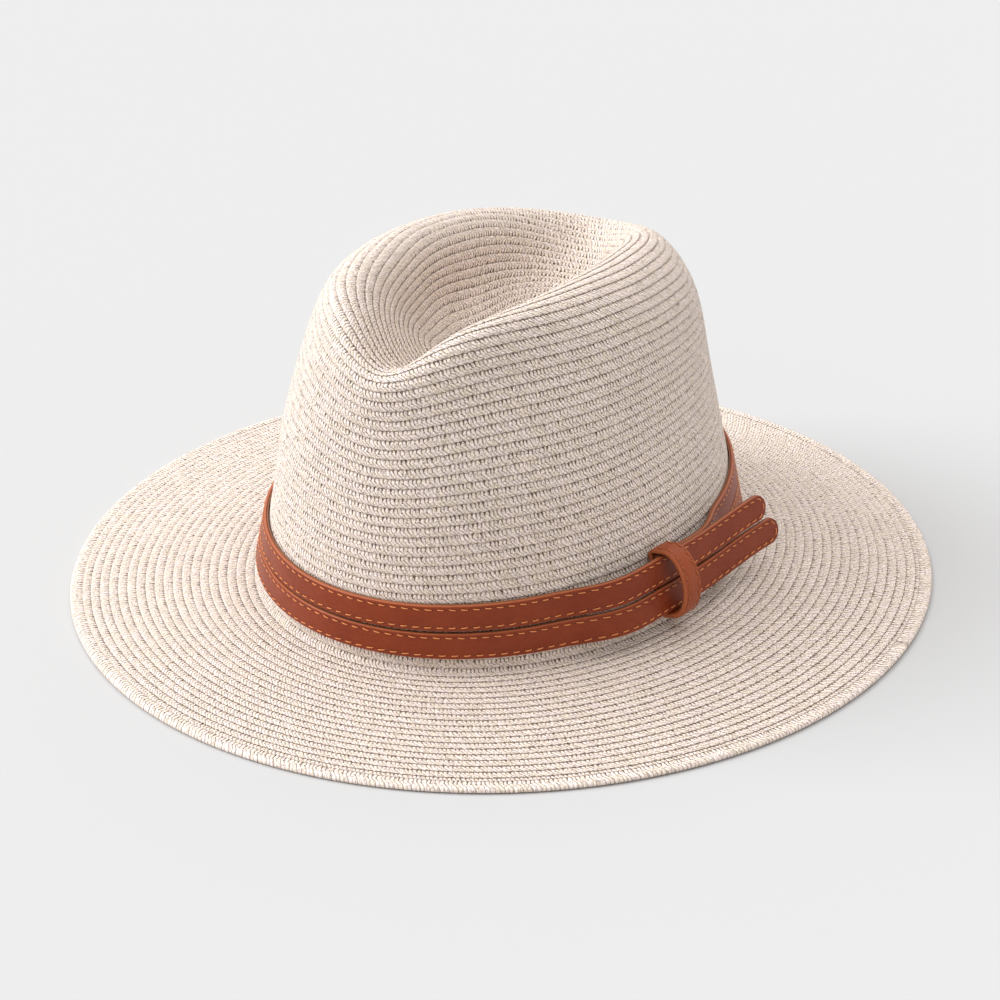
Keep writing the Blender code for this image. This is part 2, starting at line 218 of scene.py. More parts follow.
# ---------------------------------------------------------------- material helpers
class Nodes:
    """Writes a material's node tree one node at a time. Vectors, numbers and sockets all pass as values."""

    def __init__(self, name):
        self.material = bpy.data.materials.new(name)
        self.material.use_nodes = True
        self.tree = self.material.node_tree
        self.shader = self.tree.nodes["Principled BSDF"]

    def put(self, socket, value):
        if isinstance(value, bpy.types.NodeSocket):
            self.tree.links.new(value, socket)
        elif socket.type == "RGBA" and len(value) == 3:
            socket.default_value = (*value, 1)
        else:
            socket.default_value = value

    def node(self, kind, values=(), out=0, **settings):
        made = self.tree.nodes.new("ShaderNode" + kind)
        for key, value in settings.items():
            setattr(made, key, value)
        for key, value in dict(values).items():
            self.put(made.inputs[key], value)
        return made.outputs[out]

    def math(self, operation, *values, clamp=False):
        return self.node("Math", enumerate(values), operation=operation, use_clamp=clamp)

    def add(self, a, b):
        return self.math("ADD", a, b)

    def sub(self, a, b):
        return self.math("SUBTRACT", a, b)

    def mul(self, a, b):
        return self.math("MULTIPLY", a, b)

    def step(self, value, low, high):
        """0 below low, 1 above high and smooth between; the other way round if low is above high."""
        first, last = (1.0, 0.0) if low > high else (0.0, 1.0)
        keys = {0: value, 1: min(low, high), 2: max(low, high), 3: first, 4: last}
        return self.node("MapRange", keys, interpolation_type="SMOOTHSTEP")

    def vector(self, x, y, z=0.0):
        return self.node("CombineXYZ", {0: x, 1: y, 2: z})

    def noise(self, vector, scale, detail=2.0, roughness=0.5):
        values = {"Vector": vector, "Scale": scale, "Detail": detail, "Roughness": roughness}
        return self.node("TexNoise", values)

    def chance(self, vector):
        return self.node("TexWhiteNoise", {"Vector": vector})

    def mix(self, share, a, b, blend="MIX"):
        made = self.tree.nodes.new("ShaderNodeMix")
        made.data_type, made.blend_type = "RGBA", blend
        sockets = [s for s in made.inputs if s.enabled]
        for socket, value in zip(sockets, (share, a, b)):
            self.put(socket, value)
        return [s for s in made.outputs if s.enabled][0]

    def uv(self):
        split = self.tree.nodes.new("ShaderNodeSeparateXYZ")
        self.put(split.inputs[0], self.node("UVMap", uv_map="run_and_across"))
        return split.outputs[0], split.outputs[1]

    def place(self):
        return self.node("TexCoord", out=3)

    def relief(self, height, distance, strength=1.0):
        return self.node("Bump", {"Height": height, "Distance": distance, "Strength": strength})

    def finish(self, colour, roughness, normal, **constants):
        self.put(self.shader.inputs["Base Color"], colour)
        self.put(self.shader.inputs["Roughness"], roughness)
        self.put(self.shader.inputs["Normal"], normal)
        for key, value in constants.items():
            self.put(self.shader.inputs[key.replace("_", " ")], value)
        return self.material


def braid_material(name, cream, lilac, gap_and_shade_colour):
    """Flat paper plait: u is mm along it; v is the share across, from tucked edge to showing edge. Its dark
    colour goes in the plait's gaps, pinholes and specks, and as painted shade under the edge of the row before.
    """
    n = Nodes(name)
    u, v = n.uv()
    row = n.sub(n.mul(v, 1 + TUCK), TUCK)
    y = n.mul(row, ROW)
    wander = n.noise(n.vector(n.mul(u, 0.35), n.mul(y, 0.5)), 1.0, 1.0)
    loose = n.mul(n.sub(wander, 0.5), 1.3)
    bent = n.noise(n.vector(n.mul(u, 0.9), n.mul(y, 1.2), 7.0), 1.0, 1.0)
    high = n.add(row, n.mul(n.sub(bent, 0.5), 0.16))
    # upper half of the row: upright folds, with a wedge-shaped gap between each two
    fold = n.math("DIVIDE", n.add(n.sub(u, n.mul(y, 0.12)), loose), FOLD)
    fold_cell = n.math("FLOOR", fold)
    fold_at = n.math("ABSOLUTE", n.sub(n.math("FRACT", fold), 0.5))
    luck = n.chance(n.vector(n.math("FLOOR", n.add(fold, 0.5)), 3.0))
    tone_luck = n.chance(n.vector(fold_cell, 5.0))
    spread = n.mul(n.mul(n.step(high, 0.52, 0.0), 0.21), n.add(0.45, n.mul(luck, 0.8)))
    wedge = n.sub(0.47, spread)
    upper = n.mul(n.step(row, -0.02, 0.02), n.step(high, 0.55, 0.42))
    ticks = n.mul(n.node("MapRange", {0: n.sub(fold_at, wedge), 1: -0.05, 2: 0.05}), upper)
    ticks = n.mul(ticks, n.add(0.55, n.mul(luck, 0.45)))
    # lower half: strands that slant down, alternate gaps between them stronger
    slant = n.math("DIVIDE", n.add(n.sub(u, n.mul(y, 1.1)), loose), FOLD)
    slant_cell = n.math("FLOOR", slant)
    slant_at = n.math("ABSOLUTE", n.sub(n.math("FRACT", slant), 0.5))
    edge_cell = n.math("FLOOR", n.add(slant, 0.5))
    slant_luck = n.chance(n.vector(edge_cell, 9.0))
    other = n.math("FRACT", n.mul(edge_cell, 0.5))
    lower = n.mul(n.step(high, 0.40, 0.50), n.step(row, 1.03, 0.97))
    lines = n.mul(n.step(slant_at, 0.37, 0.48), lower)
    lines = n.mul(lines, n.math("ADD", n.mul(other, 0.9), n.mul(slant_luck, 0.45), clamp=True))
    # pinholes where the two halves cross
    middle = n.mul(n.step(n.math("ABSOLUTE", n.sub(high, 0.47)), 0.09, 0.03), n.step(slant_at, 0.30, 0.42))
    pins = n.mul(middle, n.step(slant_luck, 0.30, 0.55))
    grit = n.noise(n.vector(n.mul(u, 1.45), n.mul(y, 1.7), 2.0), 1.0, 3.0, 0.75)
    # painted shade: a dark strip along the top of each row, where the edge of the row before overlaps it
    lip_painted_shade = n.mul(n.step(n.add(row, n.mul(n.sub(grit, 0.5), 0.28)), 0.085, 0.02), 0.65)
    dark = n.math("MAXIMUM", ticks, n.mul(lines, 0.82))
    dark = n.math("MAXIMUM", dark, n.math("MAXIMUM", n.mul(pins, 0.9), lip_painted_shade))
    dark = n.math("MAXIMUM", dark, n.mul(n.step(grit, 0.54, 0.66), 0.60))
    # tone: each strand is cream or lilac, with fibres along it
    share = n.step(high, 0.42, 0.50)
    tone = n.mix(share, tone_luck, n.chance(n.vector(slant_cell, 13.0)))
    upright = n.noise(n.vector(n.mul(u, 4.5), n.mul(y, 1.0), 4.0), 1.0, 3.0, 0.65)
    leaning = n.noise(n.vector(n.mul(n.sub(u, y), 3.2), n.mul(n.add(u, y), 0.8)), 1.0, 3.0, 0.65)
    fibre = n.add(n.mul(upright, n.sub(1.0, share)), n.mul(leaning, share))
    paper = n.mix(n.step(tone, 0.25, 0.75), cream, lilac)
    bright = n.add(n.mul(fibre, 0.50), n.mul(n.step(grit, 0.49, 0.36), 0.34))
    patch = n.noise(n.place(), 30.0, 3.0)
    bright = n.mul(n.add(bright, 0.72), n.add(0.86, n.add(n.mul(patch, 0.10), n.mul(tone, 0.18))))
    paper = n.mix(1.0, paper, n.node("CombineColor", {0: bright, 1: bright, 2: bright}), "MULTIPLY")
    colour = n.mix(dark, paper, gap_and_shade_colour)
    round_fold = n.sub(1.0, n.math("POWER", n.mul(fold_at, 2.0), 2.5))
    round_slant = n.sub(1.0, n.math("POWER", n.mul(slant_at, 2.0), 2.5))
    height = n.add(n.mul(round_fold, n.sub(1.0, share)), n.mul(round_slant, share))
    height = n.add(n.mul(height, 0.8), n.add(n.mul(fibre, 0.45), n.mul(grit, -0.5)))
    normal = n.relief(n.sub(height, n.mul(dark, 0.7)), 0.00042, 0.9)
    roughness = n.add(0.42, n.mul(fibre, 0.25))
    return n.finish(colour, roughness, normal, Specular_IOR_Level=0.40)


def leather_material(name, deep, light, grain, roughness, edge=None, width=10.0):
    """Grained leather; u is mm along it and v is mm across it."""
    n = Nodes(name)
    u, v = n.uv()
    at = n.place()
    cloud = n.noise(at, 55.0, 4.0, 0.6)
    fine = n.noise(at, 1500.0, 3.0, 0.65)
    grains = {"Vector": at, "Scale": 1150.0, "Randomness": 1.0}
    pores = n.step(n.node("TexVoronoi", grains, feature="DISTANCE_TO_EDGE"), 0.0, 0.16)
    streak = n.noise(n.vector(n.mul(u, 0.25), n.mul(v, 2.2)), 1.0, 3.0, 0.6)
    share = n.add(n.mul(cloud, 0.6), n.mul(streak, 0.4))
    colour = n.mix(n.step(share, 0.30, 0.70), deep, light)
    shade = n.add(0.86, n.mul(n.mul(pores, fine), 0.28))
    colour = n.mix(1.0, colour, n.node("CombineColor", {0: shade, 1: shade, 2: shade}), "MULTIPLY")
    if edge is not None:
        # lighter colour over the rounded long edges of the face, on both sides
        rim = n.math("ABSOLUTE", n.sub(v, width / 2))
        lighter_edges = n.step(n.add(rim, n.mul(n.sub(streak, 0.5), 0.4)), width / 2 - 0.45, width / 2 - 0.05)
        colour = n.mix(n.mul(lighter_edges, 0.75), colour, edge)
    relief = n.add(n.mul(pores, 0.55), n.mul(fine, 0.6))
    normal = n.relief(relief, grain, 0.7)
    rough = n.add(roughness, n.mul(n.sub(fine, 0.5), 0.25))
    return n.finish(colour, rough, normal, Specular_IOR_Level=0.28)


def thread_material(name, deep, light):
    """Twisted thread; u is mm along it and v goes once round it."""
    n = Nodes(name)
    u, v = n.uv()
    twist = n.math("FRACT", n.add(n.mul(u, 2.2), n.mul(v, 2.0)))
    ply = n.math("SINE", n.mul(twist, 3.14159))
    hair = n.noise(n.vector(n.mul(u, 8.0), n.mul(v, 6.0)), 1.0, 2.0)
    # painted shade and light: darker in the grooves between the plies and lighter on their crowns; the hair
    # noise is the thread's own tone
    colour = n.mix(n.add(n.mul(ply, 0.7), n.mul(hair, 0.3)), deep, light)
    normal = n.relief(n.add(ply, n.mul(hair, 0.3)), 0.00008, 0.8)
    return n.finish(colour, n.add(0.45, n.mul(hair, 0.25)), normal, Specular_IOR_Level=0.4)


def tape_material(name, deep, light):
    """Cross-ribbed cotton tape; u is mm along it and v is mm across it."""
    n = Nodes(name)
    u, v = n.uv()
    rib = n.math("SINE", n.mul(u, 2 * np.pi / 0.62))
    weft = n.math("SINE", n.mul(v, 2 * np.pi / 0.45))
    woven = n.add(n.mul(rib, 0.6), n.mul(n.mul(rib, weft), 0.4))
    slub = n.noise(n.vector(n.mul(u, 0.6), n.mul(v, 3.0)), 1.0, 3.0)
    # painted shade: darker in the troughs between the ribs; the slub noise is the tape's own tone
    share = n.math("ADD", n.mul(woven, 0.35), n.add(n.mul(slub, 0.5), 0.2), clamp=True)
    colour = n.mix(share, deep, light)
    normal = n.relief(n.add(woven, n.mul(slub, 0.5)), 0.00012, 0.8)
    return n.finish(colour, n.add(0.78, n.mul(slub, 0.15)), normal, Sheen_Weight=0.25)


# painted shade: the dark colour of the plugs that stand for the inside of each needle hole
def hole_shade_material(name, dark):
    n = Nodes(name)
    grit = n.noise(n.place(), 3000.0, 2.0)
    colour = n.mix(grit, dark, tuple(1.8 * c for c in dark))
    return n.finish(colour, 0.9, n.relief(grit, 0.00005))


# the dark colour is for the plait's gaps, and for painted shade under each overlapping row edge
CREAM, LILAC, GAP_AND_SHADE = (0.90, 0.765, 0.645), (0.84, 0.715, 0.655), (0.115, 0.072, 0.040)
STRAW = braid_material("paper_braid_plait", CREAM, LILAC, GAP_AND_SHADE)
LEATHER = leather_material(
    "tan_leather_grain",
    deep=(0.190, 0.023, 0.003),
    light=(0.255, 0.039, 0.0065),
    grain=0.00010,
    roughness=0.38,
    edge=(0.46, 0.13, 0.045),
    width=STRAP_WIDTH / MM,
)
LOOP_LEATHER = leather_material(
    "tan_leather_loop",
    deep=(0.280, 0.048, 0.010),
    light=(0.360, 0.072, 0.016),
    grain=0.00010,
    roughness=0.38,
    edge=(0.44, 0.13, 0.05),
    width=KEEPER_WIDTH / MM,
)
LINING = leather_material("leather_backing_suede", (0.20, 0.075, 0.035), (0.27, 0.11, 0.055), 0.00016, 0.75)
THREAD = thread_material("orange_thread_twist", (0.55, 0.16, 0.045), (0.84, 0.33, 0.11))
LOOP_THREAD = thread_material("brown_thread_twist", (0.34, 0.085, 0.025), (0.52, 0.16, 0.05))
TAPE = tape_material("sweatband_tape_rib", (0.55, 0.49, 0.40), (0.76, 0.70, 0.60))
TAPE_THREAD = thread_material("natural_thread_twist", (0.60, 0.54, 0.44), (0.86, 0.80, 0.70))
HOLE_SHADE = hole_shade_material("needle_hole_painted_shade", (0.030, 0.008, 0.004))


# ---------------------------------------------------------------- the braid, laid as one spiral
GRID_THETA = np.linspace(0, 2 * np.pi, 721)
PER_ROW = 12  # grid lines for each row of braid
SMOOTH_REACH, SMOOTH_SPREAD = 40, 16.0  # grid angles each way


def even_rows(lines, count, start=0.0):
    """Lines resampled so that all the rows on one line are equally wide.

    They are counted out from a straight start of the given half length along Y, and the change from
    angle to angle is smoothed.
    """
    steps = np.linalg.norm(np.diff(lines, axis=0), axis=2)
    run = np.vstack([np.zeros(lines.shape[1]), np.cumsum(steps, 0)])
    if start:
        along, aside = np.abs(run * np.sin(GRID_THETA)), run * np.cos(GRID_THETA)
        run = np.hypot(aside, np.maximum(along - start, 0)) + run * 1e-4
    share = run / run[-1]
    kernel = np.exp(-((np.arange(-SMOOTH_REACH, SMOOTH_REACH + 1) / SMOOTH_SPREAD) ** 2))
    kernel /= kernel.sum()
    wide = np.concatenate([share[:, -SMOOTH_REACH - 1 : -1], share, share[:, 1 : SMOOTH_REACH + 1]], 1)
    share = np.array([np.convolve(line, kernel, "valid") for line in wide])
    wanted = np.linspace(0, 1, count)
    out = np.empty((count, lines.shape[1], 3))
    for j in range(lines.shape[1]):
        for axis in range(3):
            out[:, j, axis] = np.interp(wanted, share[:, j], lines[:, j, axis])
    return out


def cut_at(lines, height):
    """Lines that go down, ended at one height."""
    count = len(lines)
    out = np.empty_like(lines)
    for j in range(lines.shape[1]):
        z = lines[count // 2 :, j, 2]
        end = count // 2 + np.interp(-height, -z, np.arange(len(z)))
        for axis in range(3):
            out[:, j, axis] = np.interp(np.linspace(0, end, count), np.arange(count), lines[:, j, axis])
    return out


def braid_surface():
    """Points and outward normals over the crown and brim: grid rows go down it, and columns go round it."""
    crown = cut_at(crown_lines(GRID_THETA, 900), BREAK_HEIGHT)
    crown = even_rows(crown, CROWN_TURNS * PER_ROW + 1, START_HALF_LENGTH)
    brim = even_rows(brim_lines(GRID_THETA, 500), int(BRIM_TURNS * PER_ROW) + 1)
    points = np.concatenate([crown, brim[1:]])
    down = np.gradient(points, axis=0)
    ring = points[:, :-1]
    round_ = np.roll(ring, -1, 1) - np.roll(ring, 1, 1)
    round_ = np.concatenate([round_, round_[:, :1]], 1)
    normals = np.cross(down, round_)
    length = np.linalg.norm(normals, axis=2, keepdims=True)
    normals = normals / np.maximum(length, 1e-12)
    normals[:3] = (0, 0, 1)  # the first rows meet in a point, where no normal can be worked out
    return points, normals


SURFACE, NORMALS = braid_surface()
ROWS = (len(SURFACE) - 1) / PER_ROW


def on_surface(grid, theta, row):
    """The grid's value at any angle and row, between its points."""
    i = np.clip(row, 0, ROWS - 1e-6) * PER_ROW
    j = (theta % (2 * np.pi)) / (2 * np.pi) * (len(GRID_THETA) - 1)
    i0, j0 = i.astype(int), np.minimum(j.astype(int), len(GRID_THETA) - 2)
    fi, fj = (i - i0)[..., None], (j - j0)[..., None]
    top = grid[i0, j0] * (1 - fj) + grid[i0, j0 + 1] * fj
    low = grid[i0 + 1, j0] * (1 - fj) + grid[i0 + 1, j0 + 1] * fj
    return top * (1 - fi) + low * fi


# Section of one row: rows from its showing edge, mm above the surface, share of the folds and of the strands
SECTION = np.array([
    (-1 - TUCK, -0.62, 0, 0),
    (-1.08, -0.50, 0, 0),
    (-0.97, -0.38, 0.7, 0),
    (-0.86, -0.26, 1, 0),
    (-0.70, -0.12, 0.6, 0.2),
    (-0.54, -0.04, 0.1, 0.7),
    (-0.38, 0.01, 0, 1),
    (-0.22, 0.03, 0, 1),
    (-0.07, 0.00, 0, 0.6),
    (0.00, -0.12, 0, 0),
    (0.00, -0.30, 0, 0),
    (-0.12, -0.46, 0, 0),
    (-0.60, -0.85, 0, 0),
    (-1 - TUCK, -1.20, 0, 0),
])  # fmt: skip


def spiral():
    """Turn angle of each station along the whole braid, a fixed distance apart."""
    turn = np.arange(0.9, ROWS + 0.95, 1 / 720)
    path = on_surface(SURFACE, turn * 2 * np.pi, turn - 0.4)
    run = np.concatenate([[0], np.cumsum(np.linalg.norm(np.diff(path, axis=0), axis=1))])
    return np.interp(np.arange(0, run[-1], STATION), run, turn)


def braid_piece(name, turns, node):
    """A length of the braid as its own closed solid."""
    stations = np.arange(len(turns))
    rows_in, above, of_folds, of_strands = SECTION.T[:, None, :]
    row = turns[:, None] + rows_in + WAVER * RANDOM.standard_normal((len(turns), 1))
    scallop = SCALLOP * np.cos(stations * np.pi / 2)[:, None] * (rows_in > -0.1) * (above > -0.6)
    row = np.clip(row + scallop, 0.02, ROWS - 0.01)
    theta = np.broadcast_to(turns[:, None] * 2 * np.pi, row.shape)
    at, out = on_surface(SURFACE, theta, row), on_surface(NORMALS, theta, row)
    fold = np.where(stations % 2 == 0, FOLD_TOP, FOLD_GAP - DEEP_GAP * (stations % 4 == 1))[:, None]
    slant = np.cos(2 * np.pi * (stations[:, None] * STATION / MM - rows_in * ROW) / REPEAT)
    rough = STRAND_ROUGH * RANDOM.standard_normal(row.shape)
    height = above + fold * of_folds + (STRAND_RISE * slant + rough) * of_strands
    points = at + out * (height * MM)[..., None]
    across = (SECTION[:, 0] + 1 + TUCK) / (1 + TUCK)
    uv = np.stack(np.broadcast_arrays(stations[:, None] * STATION / MM, across[None, :]), -1)
    piece = swept(name, points, uv, STRAW)
    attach(piece, "hat")
    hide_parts(node)


def lay_braid():
    turns = spiral()
    top_end = int(np.searchsorted(turns, TOP_TURNS + 0.5) // 4 * 4)
    crown_end = int(np.searchsorted(turns, CROWN_TURNS + 0.5) // 4 * 4)
    for label, node, first, last, count in (
        ("crown_top_braid", "crown_top", 0, top_end, 2),
        ("crown_side_braid", "crown_side", top_end, crown_end, 4),
        ("brim_braid", "brim", crown_end, len(turns) - 1, 4),
    ):
        ends = (np.linspace(first, last, count + 1) // 4 * 4).astype(int)
        for k in range(count):
            braid_piece(f"{label}_{k + 1}", turns[ends[k] : ends[k + 1] + 1], node)


def braid_start():
    """The folded start of the braid, a narrow strip along the middle of the dent.

    Its section runs from the middle out and back under: rows from the spiral's start, and lift above them.
    """
    around = 120
    angle = np.linspace(0, 2 * np.pi, around, endpoint=False)
    rows = np.array([0.10, 0.30, 0.55, 0.80, 0.98, 1.05, 0.30])
    lift = np.array([0.20, 0.24, 0.24, 0.18, -0.10, -1.32, -1.45]) * MM
    theta, row = np.broadcast_arrays(angle[:, None], rows[None, :])
    points = on_surface(SURFACE, theta, row)
    points[..., 2] += lift
    uv = np.stack(np.broadcast_arrays((angle * 14)[:, None], np.linspace(0.4, 1, len(rows))[None, :]), -1)
    i, j = np.arange(around)[:, None], np.arange(len(rows) - 1)[None, :]
    n, rings = (i + 1) % around, len(rows)
    quads = np.stack([i * rings + j, i * rings + j + 1, n * rings + j + 1, n * rings + j], -1).reshape(-1, 4)
    caps = [[k * rings for k in range(around)], [k * rings + rings - 1 for k in range(around)][::-1]]
    piece = solid("crown_braid_start", points.reshape(-1, 3), quads, caps, uv.reshape(-1, 2), [STRAW])
    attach(piece, "hat")
    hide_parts("crown_top")


def brim_edge():
    """The last row, folded over the edge of the brim and so twice as thick.

    Its section is in mm out, mm up and share across the plait.
    """
    section = np.array([
        (-1.0, 1.30, 0.05), (-0.45, 1.98, 0.14), (0.2, 2.16, 0.22), (1.0, 2.20, 0.34), (1.9, 2.22, 0.50),
        (2.7, 2.20, 0.68), (3.5, 2.06, 0.84), (4.1, 1.70, 0.93), (4.35, 1.10, 0.96), (4.1, 0.48, 0.96),
        (3.5, 0.10, 0.90), (2.2, 0.02, 0.6), (1.0, 0.05, 0.3), (0.1, 0.35, 0.2), (-0.7, 0.75, 0.1),
    ])  # fmt: skip
    theta = np.linspace(0, 2 * np.pi, 20001)
    line = oval(theta, BRIM_HALF_LENGTH - EDGE_WIDTH, BRIM_HALF_WIDTH - EDGE_WIDTH, 0.0)
    run = np.concatenate([[0], np.cumsum(np.linalg.norm(np.diff(line, axis=0), axis=1))])
    count = int(run[-1] / STATION) // 4 * 4
    step = run[-1] / count
    theta = np.interp(np.arange(count) * step, run, theta)
    inner = oval(theta, BRIM_HALF_LENGTH - EDGE_WIDTH, BRIM_HALF_WIDTH - EDGE_WIDTH, 0.0)
    outer = oval(theta, BRIM_HALF_LENGTH, BRIM_HALF_WIDTH, 0.0)
    away = (outer - inner) / np.linalg.norm(outer - inner, axis=1)[:, None]
    stations = np.arange(count)
    beat = np.where(stations % 4 < 2, 0.03, -0.03)[:, None] * (section[None, :, 1] > 0.5)
    noise = 0.04 * RANDOM.standard_normal((count, len(section))) * (section[None, :, 1] > 0.5)
    reach = section[None, :, 0] - 0.10 + beat * (section[None, :, 0] > 3) + noise * 0.5
    lift = np.maximum(section[None, :, 1] + beat + noise, 0.0)
    points = inner[:, None, :] + away[:, None, :] * (reach * MM)[..., None]
    points[..., 2] = lift * MM
    across = (section[:, 2] + TUCK) / (1 + TUCK)
    uv = np.stack(np.broadcast_arrays((stations * STATION / MM)[:, None], across[None, :]), -1)
    piece = swept("brim_edge_row", points, uv, STRAW, closed=True)
    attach(piece, "hat")
    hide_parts("brim_edge_braid")


# ---------------------------------------------------------------- band
STRAP_STITCH, LOOP_STITCH, TAPE_STITCH = (4.0, 2.7), (3.3, 2.0), (3.5, 2.7)  # mm from stitch to stitch, mm long
THREAD_RADIUS, TAPE_THREAD_RADIUS = 0.20, 0.24  # mm
HOLE_HALF_LENGTH, HOLE_HALF_HEIGHT = 0.24, 0.20  # mm
MIDDLE = (LOWER_BOTTOM + UPPER_BOTTOM + STRAP_WIDTH) / 2
AT_KEEPER = np.array([KEEPER_ANGLE])
KEEPER_AT = wall_points(AT_KEEPER, MIDDLE, 0.0)[0]
ALONG = (wall_points(AT_KEEPER + 0.02, MIDDLE, 0.0) - wall_points(AT_KEEPER - 0.02, MIDDLE, 0.0))[0]
ALONG /= np.linalg.norm(ALONG)
UP = (wall_points(AT_KEEPER, MIDDLE + 0.01, 0.0) - wall_points(AT_KEEPER, MIDDLE - 0.01, 0.0))[0]
UP -= ALONG * (UP @ ALONG)
UP /= np.linalg.norm(UP)
OUT = np.cross(ALONG, UP)

ROUND = np.linspace(KEEPER_ANGLE, KEEPER_ANGLE + 2 * np.pi, 721)
ROUND_POINTS = wall_points(ROUND, MIDDLE, 0.0)
ROUND_RUN = np.concatenate([[0], np.cumsum(np.linalg.norm(np.diff(ROUND_POINTS, axis=0), axis=1))])
LOOP_LENGTH = ROUND_RUN[-1]


def smooth(x, low, high):
    t = np.clip((x - low) / (high - low), 0, 1)
    return t * t * t * (10 - 15 * t + 6 * t * t)


def band_points(run, height, offset, lift=0.0):
    """Points along a strap at one height, for distances from where it starts at the keeper."""
    lap = run > LOOP_LENGTH / 2
    local = np.where(lap, run - LOOP_LENGTH, run)
    theta = np.interp(np.clip(run, 0, LOOP_LENGTH), ROUND_RUN, ROUND)
    on_wall = wall_points(theta, height, WALL_OFFSET + offset)
    layer = np.where(lap, TAIL_OFFSET, HIDDEN_OFFSET) + offset
    rise = (height - MIDDLE) / UP[2] + lift * smooth(local, 0.004, LOWER_TAIL) * lap
    straight = KEEPER_AT + np.outer(local, ALONG) + np.outer(rise, UP) + np.outer(layer, OUT)
    free = np.where(lap, smooth(local, -0.050, -0.014), 1 - smooth(local, 0.012, 0.048))[:, None]
    return (1 - free) * on_wall + free * straight


class Strap:
    """Places points on a strap by distance along it, mm up it and mm out from its back."""

    def __init__(self, bottom, tail, lift):
        self.bottom, self.tail, self.lift = bottom, tail, lift
        self.end = LOOP_LENGTH + tail

    def place(self, run, up, out):
        flat = np.ravel(run)
        corners = [
            [band_points(flat, self.bottom + rise, reach, self.lift) for reach in (0.0, MM)]
            for rise in (0.0, STRAP_WIDTH)
        ]
        corners = [[c.reshape(*np.shape(run), 3) for c in pair] for pair in corners]
        up, out = np.asarray(up)[..., None], np.asarray(out)[..., None]
        if up.ndim > corners[0][0].ndim:
            corners = [[c[:, None, :] for c in pair] for pair in corners]
        share = up / (STRAP_WIDTH / MM)
        low = corners[0][0] + (corners[0][1] - corners[0][0]) * out
        high = corners[1][0] + (corners[1][1] - corners[1][0]) * out
        return low + (high - low) * share

    def stations(self):
        body = np.arange(HIDDEN_START, self.end - STRAP_WIDTH / 2 - 0.0006, 0.0012)
        turn = np.radians([0, 12, 24, 36, 47, 57, 66, 74, 80, 85, 88.5])
        tip = self.end - STRAP_WIDTH / 2 * (1 - np.sin(turn))
        return np.concatenate([body, tip])

    def half_width(self, run):
        back = np.maximum(run - (self.end - STRAP_WIDTH / 2), 0)
        return np.sqrt(np.maximum((STRAP_WIDTH / 2) ** 2 - back**2, 0.0004**2))

    def seam(self, width):
        """The line of the stitching, as (distance along, mm up): along the bottom, round the tip and back."""
        start, stop = THREAD_START, self.end - STRAP_WIDTH / 2
        inset = STITCH_INSET / MM
        radius = width / 2 - inset
        low = np.stack([np.linspace(start, stop, 2000), np.full(2000, inset)], 1)
        angle = np.linspace(-np.pi / 2, np.pi / 2, 80)[1:-1]
        tip = np.stack([stop + radius * MM * np.cos(angle), width / 2 + radius * np.sin(angle)], 1)
        high = np.stack([low[::-1, 0], np.full(2000, width - inset)], 1)
        return np.concatenate([low, tip, high])


def rounded_section(width, low, high, groove=0.12, crowned=0.06):
    """Closed outline of a strap in mm, from its top edge down its face and back up behind."""
    inset = STITCH_INSET / MM
    tall = high - low
    half = [
        (0.00, low + 0.35 * tall), (0.02, low + 0.62 * tall), (0.14, low + 0.86 * tall), (0.38, high - 0.02),
        (0.80, high), (inset - 0.25, high - groove * 0.6), (inset, high - groove),
        (inset + 0.28, high - groove * 0.6), (inset + 0.8, high + 0.01),
        (width * 0.34, high + crowned * 0.7), (width * 0.5, high + crowned),
    ]  # fmt: skip
    face = half + [(width - a, b) for a, b in half[-2::-1]]
    foot = low + 0.10 * tall
    back = [(width - 0.10, foot), (width - 0.5, low), (width / 2, low), (0.5, low), (0.10, foot)]
    return np.array(face + back)


def strap_solid(name, strap, low, high, finish, **shape):
    run = strap.stations()
    section = rounded_section(STRAP_WIDTH / MM, low, high, **shape)
    half = strap.half_width(run) / (STRAP_WIDTH / 2)
    middle = STRAP_WIDTH / MM / 2
    up = middle - (section[None, :, 0] - middle) * half[:, None]
    out = np.broadcast_to(section[None, :, 1], up.shape)
    points = strap.place(run, up, out)
    uv = np.stack(np.broadcast_arrays((run / MM)[:, None], section[None, :, 0]), -1)
    return swept(name, points, uv, finish)


